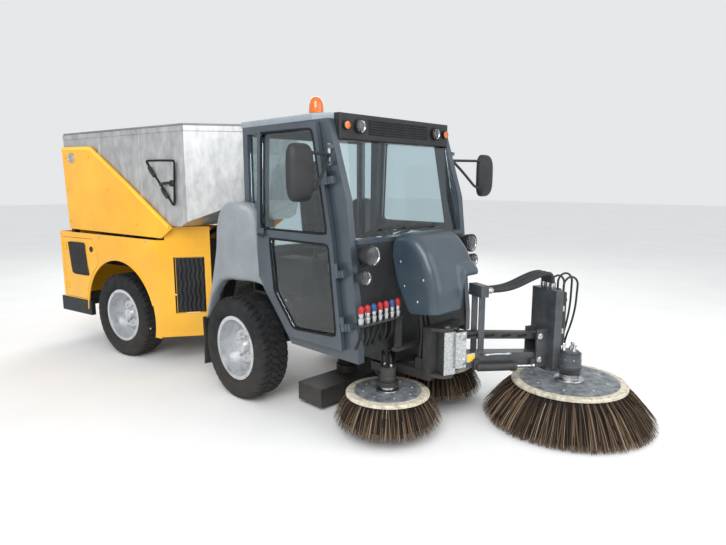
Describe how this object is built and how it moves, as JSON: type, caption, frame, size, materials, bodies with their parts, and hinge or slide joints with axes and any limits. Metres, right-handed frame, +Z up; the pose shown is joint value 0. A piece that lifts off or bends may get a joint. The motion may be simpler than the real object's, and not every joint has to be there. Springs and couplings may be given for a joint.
{
  "type": "ride-on street sweeper",
  "caption": "Articulated ride-on sweeper: cab front cart with side brooms and a boom broom, steered against a rear cart with a tipping dirt hopper.",
  "frame": {"origin": "middle of the whole machine's footprint, on the ground, with the rear cart parked at its steering angle", "axes": "+X forward along the front cart, +Y to its left, +Z up"},
  "size_m": [4.9796, 2.1463, 2.0099],
  "materials": {
    "yellow_paint": "gloss enamel",
    "slate_paint": "satin enamel",
    "hood_plastic": "satin moulding",
    "grey_plastic": "satin moulding",
    "chassis_steel": "matte black",
    "hopper_aluminium": "brushed",
    "rim_silver": "silver lacquer",
    "tyre_rubber": "rubber",
    "black_plastic": "textured",
    "black_rubber": "matte",
    "glazing": "clear",
    "lamp_lens": "clear moulding",
    "seat_fabric": "woven",
    "bare_steel": "bare",
    "brush_mix": "bristle"
  },
  "bodies": {
    "front_cart": {"front_chassis": "chassis_steel", "cab_tub": "black_plastic", "cab_frame": "slate_paint", "cab_roof": "grey_plastic", "cab_glass": "glazing", "light_bar": "black_plastic", "cab_lamps": "lamp_lens", "front_mudguards": "grey_plastic", "front_hood": "hood_plastic", "hydraulic_couplings": "chassis_steel", "cab_controls": "black_plastic", "seat_base": "black_rubber", "suction_hose": "black_rubber"},
    "steering_wheel": {"steering_wheel": "black_plastic"},
    "accelerator_pedal": {"accelerator_pedal": "black_plastic"},
    "wiper": {"wiper": "black_plastic"},
    "seat": {"seat_cushion": "seat_fabric"},
    "seat_back": {"seat_backrest": "seat_fabric"},
    "door_right": {"door_frame_right": "slate_paint", "door_glass_right": "glazing"},
    "door_left": {"door_frame_left": "slate_paint", "door_glass_left": "glazing"},
    "mirror_right": {"mirror_right": "black_plastic"},
    "mirror_left": {"mirror_left": "black_plastic"},
    "wheel_front_left": {"rim_front_left": "rim_silver", "tyre_front_left": "tyre_rubber"},
    "wheel_front_right": {"rim_front_right": "rim_silver", "tyre_front_right": "tyre_rubber"},
    "wheel_rear_left": {"rim_rear_left": "rim_silver", "tyre_rear_left": "tyre_rubber"},
    "wheel_rear_right": {"rim_rear_right": "rim_silver", "tyre_rear_right": "tyre_rubber"},
    "broom_carriage": {"broom_carriage": "chassis_steel", "carriage_hoses": "black_rubber"},
    "broom_arm_right": {"broom_arm_right": "chassis_steel"},
    "broom_arm_left": {"broom_arm_left": "chassis_steel"},
    "brush_right": {"brush_right": "brush_mix"},
    "brush_left": {"brush_left": "brush_mix"},
    "boom_bracket": {"boom_bracket": "chassis_steel"},
    "boom_arm": {"boom_arm": "slate_paint", "boom_hoses": "black_rubber"},
    "boom_link": {"boom_link": "chassis_steel"},
    "broom_post": {"broom_post": "slate_paint"},
    "brush_front": {"brush_front": "brush_mix"},
    "suction_mouth": {"suction_mouth": "chassis_steel"},
    "frame_joint": {"articulation_link": "chassis_steel"},
    "rear_cart": {"rear_chassis": "chassis_steel", "body_panels": "yellow_paint", "rear_bumper": "black_plastic", "tail_lamps": "lamp_lens", "power_pack": "black_plastic"},
    "service_door_right": {"service_door_right": "yellow_paint"},
    "service_door_left": {"service_door_left": "yellow_paint"},
    "hopper": {"hopper_body": "hopper_aluminium"},
    "tailgate": {"hopper_tailgate": "hopper_aluminium"},
    "lid": {"hopper_lid": "grey_plastic"},
    "hatch": {"inspection_hatch": "hopper_aluminium"},
    "fan": {"fan_impeller": "bare_steel"},
    "ram_barrels": {"ram_barrels": "chassis_steel"},
    "ram_rods": {"ram_rods": "bare_steel"}
  },
  "joints": [
    {"name": "steering_articulation", "type": "hinge", "parent": "front_cart", "child": "frame_joint", "pos_m": [-0.65116, -0.09281, 0.435], "axis": [0, 0, 1], "range_deg": [-50.7, 29.3], "deforming": ["suction_hose"]},
    {"name": "rear_oscillation", "type": "hinge", "parent": "frame_joint", "child": "rear_cart", "pos_m": [-0.65116, -0.09281, 0.435], "axis": [0.9826, 0.1857, 0], "range_deg": [-8, 8]},
    {"name": "wheel_front_left_spin", "type": "hinge", "parent": "front_cart", "child": "wheel_front_left", "pos_m": [0.17384, 0.46219, 0.355], "axis": [0, 1, 0], "continuous": true},
    {"name": "wheel_front_right_spin", "type": "hinge", "parent": "front_cart", "child": "wheel_front_right", "pos_m": [0.17384, -0.64781, 0.355], "axis": [0, 1, 0], "continuous": true},
    {"name": "wheel_rear_left_spin", "type": "hinge", "parent": "rear_cart", "child": "wheel_rear_left", "pos_m": [-1.56486, 0.29936, 0.355], "axis": [-0.1857, 0.9826, 0], "continuous": true},
    {"name": "wheel_rear_right_spin", "type": "hinge", "parent": "rear_cart", "child": "wheel_rear_right", "pos_m": [-1.35877, -0.79134, 0.355], "axis": [-0.1857, 0.9826, 0], "continuous": true},
    {"name": "steering_wheel_turn", "type": "hinge", "parent": "front_cart", "child": "steering_wheel", "pos_m": [0.97384, -0.09281, 1.15], "axis": [-0.423, 0, 0.9061], "range_deg": [-540, 920]},
    {"name": "pedal_press", "type": "hinge", "parent": "front_cart", "child": "accelerator_pedal", "pos_m": [1.07184, -0.20781, 0.544], "axis": [0, 1, 0], "range_deg": [0, 16], "stiffness_Nm_per_rad": 3, "springref_deg": -17.19},
    {"name": "wiper_sweep", "type": "hinge", "parent": "front_cart", "child": "wiper", "pos_m": [1.17152, 0.14219, 1.202], "axis": [-0.979, 0, -0.2037], "range_deg": [0, 82]},
    {"name": "seat_slide", "type": "slide", "parent": "front_cart", "child": "seat", "axis": [1, 0, 0], "range_m": [-0.03, 0.1]},
    {"name": "seat_recline", "type": "hinge", "parent": "seat", "child": "seat_back", "pos_m": [0.41384, -0.09281, 0.956], "axis": [0, 1, 0], "range_deg": [-4, 9]},
    {"name": "door_right_hinge", "type": "hinge", "parent": "front_cart", "child": "door_right", "pos_m": [1.21384, -0.67781, 0.535], "axis": [-0.1624, 0, 0.9867], "range_deg": [0, 75]},
    {"name": "door_left_hinge", "type": "hinge", "parent": "front_cart", "child": "door_left", "pos_m": [1.21384, 0.49219, 0.535], "axis": [0.1624, 0, -0.9867], "range_deg": [0, 75]},
    {"name": "mirror_right_fold", "type": "hinge", "parent": "front_cart", "child": "mirror_right", "pos_m": [1.07484, -0.66481, 1.625], "axis": [0, 0, 1], "range_deg": [-10, 70]},
    {"name": "mirror_left_fold", "type": "hinge", "parent": "front_cart", "child": "mirror_left", "pos_m": [1.07484, 0.47919, 1.625], "axis": [0, 0, -1], "range_deg": [-10, 70]},
    {"name": "broom_carriage_lift", "type": "slide", "parent": "front_cart", "child": "broom_carriage", "axis": [0, 0, 1], "range_m": [-0.055, 0]},
    {"name": "broom_arm_right_swing", "type": "hinge", "parent": "broom_carriage", "child": "broom_arm_right", "pos_m": [1.10984, -0.27281, 0.3], "axis": [0, 0, -1], "range_deg": [0, 34]},
    {"name": "broom_arm_left_swing", "type": "hinge", "parent": "broom_carriage", "child": "broom_arm_left", "pos_m": [1.10984, 0.08719, 0.3], "axis": [0, 0, 1], "range_deg": [-4, 4]},
    {"name": "brush_right_spin", "type": "hinge", "parent": "broom_arm_right", "child": "brush_right", "pos_m": [1.27384, -0.39281, 0.24], "axis": [0, 0, -1], "continuous": true},
    {"name": "brush_left_spin", "type": "hinge", "parent": "broom_arm_left", "child": "brush_left", "pos_m": [1.12884, 0.25719, 0.24], "axis": [0, 0, 1], "continuous": true},
    {"name": "boom_swing", "type": "hinge", "parent": "broom_carriage", "child": "boom_bracket", "pos_m": [1.51884, -0.15281, 0.44], "axis": [0, 0, 1], "range_deg": [-80, 0]},
    {"name": "boom_lift", "type": "hinge", "parent": "boom_bracket", "child": "boom_arm", "pos_m": [1.54832, -0.08385, 0.44], "axis": [-0.9195, 0.393, 0], "range_deg": [-15, 0]},
    {"name": "boom_link_turn", "type": "hinge", "parent": "boom_bracket", "child": "boom_link", "pos_m": [1.54832, -0.08385, 0.59], "axis": [-0.9195, 0.393, 0], "range_deg": [-15.5, 0.5]},
    {"name": "broom_post_level", "type": "hinge", "parent": "boom_arm", "child": "broom_post", "pos_m": [1.76841, 0.43109, 0.38], "axis": [-0.9195, 0.393, 0], "range_deg": [-0.5, 15.5], "deforming": ["boom_hoses"]},
    {"name": "brush_front_spin", "type": "hinge", "parent": "broom_post", "child": "brush_front", "pos_m": [1.95884, 0.54219, 0.24], "axis": [0, 0, 1], "continuous": true},
    {"name": "suction_mouth_lift", "type": "slide", "parent": "front_cart", "child": "suction_mouth", "axis": [0, 0, 1], "range_m": [0, 0.08]},
    {"name": "service_door_right_hinge", "type": "hinge", "parent": "rear_cart", "child": "service_door_right", "pos_m": [-2.14751, -1.06046, 0.7], "axis": [0, 0, -1], "range_deg": [0, 95]},
    {"name": "service_door_left_hinge", "type": "hinge", "parent": "rear_cart", "child": "service_door_left", "pos_m": [-2.39742, 0.26214, 0.7], "axis": [0, 0, 1], "range_deg": [0, 95]},
    {"name": "hopper_tip", "type": "hinge", "parent": "rear_cart", "child": "hopper", "pos_m": [-2.06612, -0.36017, 1.69], "axis": [0.1857, -0.9826, 0], "range_deg": [0, 48]},
    {"name": "tailgate_hinge", "type": "hinge", "parent": "hopper", "child": "tailgate", "pos_m": [-2.22727, -0.39062, 1.878], "axis": [-0.1857, 0.9826, 0], "range_deg": [0, 100]},
    {"name": "lid_hinge", "type": "hinge", "parent": "hopper", "child": "lid", "pos_m": [-2.20958, -0.38728, 1.91], "axis": [0.1857, -0.9826, 0], "range_deg": [0, 60]},
    {"name": "hatch_hinge", "type": "hinge", "parent": "hopper", "child": "hatch", "pos_m": [-0.9284, -0.78533, 1.647], "axis": [0.6591, 0.1245, -0.7416], "range_deg": [0, 90]},
    {"name": "fan_spin", "type": "hinge", "parent": "hopper", "child": "fan", "pos_m": [-0.56272, -0.0761, 1.74], "axis": [0, 0, 1], "continuous": true},
    {"name": "ram_swing", "type": "hinge", "parent": "rear_cart", "child": "ram_barrels", "pos_m": [-2.06293, -0.35957, 0.76001], "axis": [0.1857, -0.9826, 0], "range_deg": [-0.5, 24.5]},
    {"name": "ram_stroke", "type": "slide", "parent": "ram_barrels", "child": "ram_rods", "axis": [0.8891, 0.168, 0.4258], "range_m": [-0.002, 0.6217]}
  ],
  "couplings": [
    {"joint": "steering_wheel_turn", "follows": "steering_articulation", "ratio": -18},
    {"joint": "boom_link_turn", "follows": "boom_lift", "ratio": 1},
    {"joint": "broom_post_level", "follows": "boom_lift", "ratio": -1},
    {"joint": "ram_swing", "follows": "hopper_tip", "ratio": 0.5},
    {"joint": "ram_stroke", "follows": "hopper_tip", "m_per_rad": 0.73731}
  ]
}
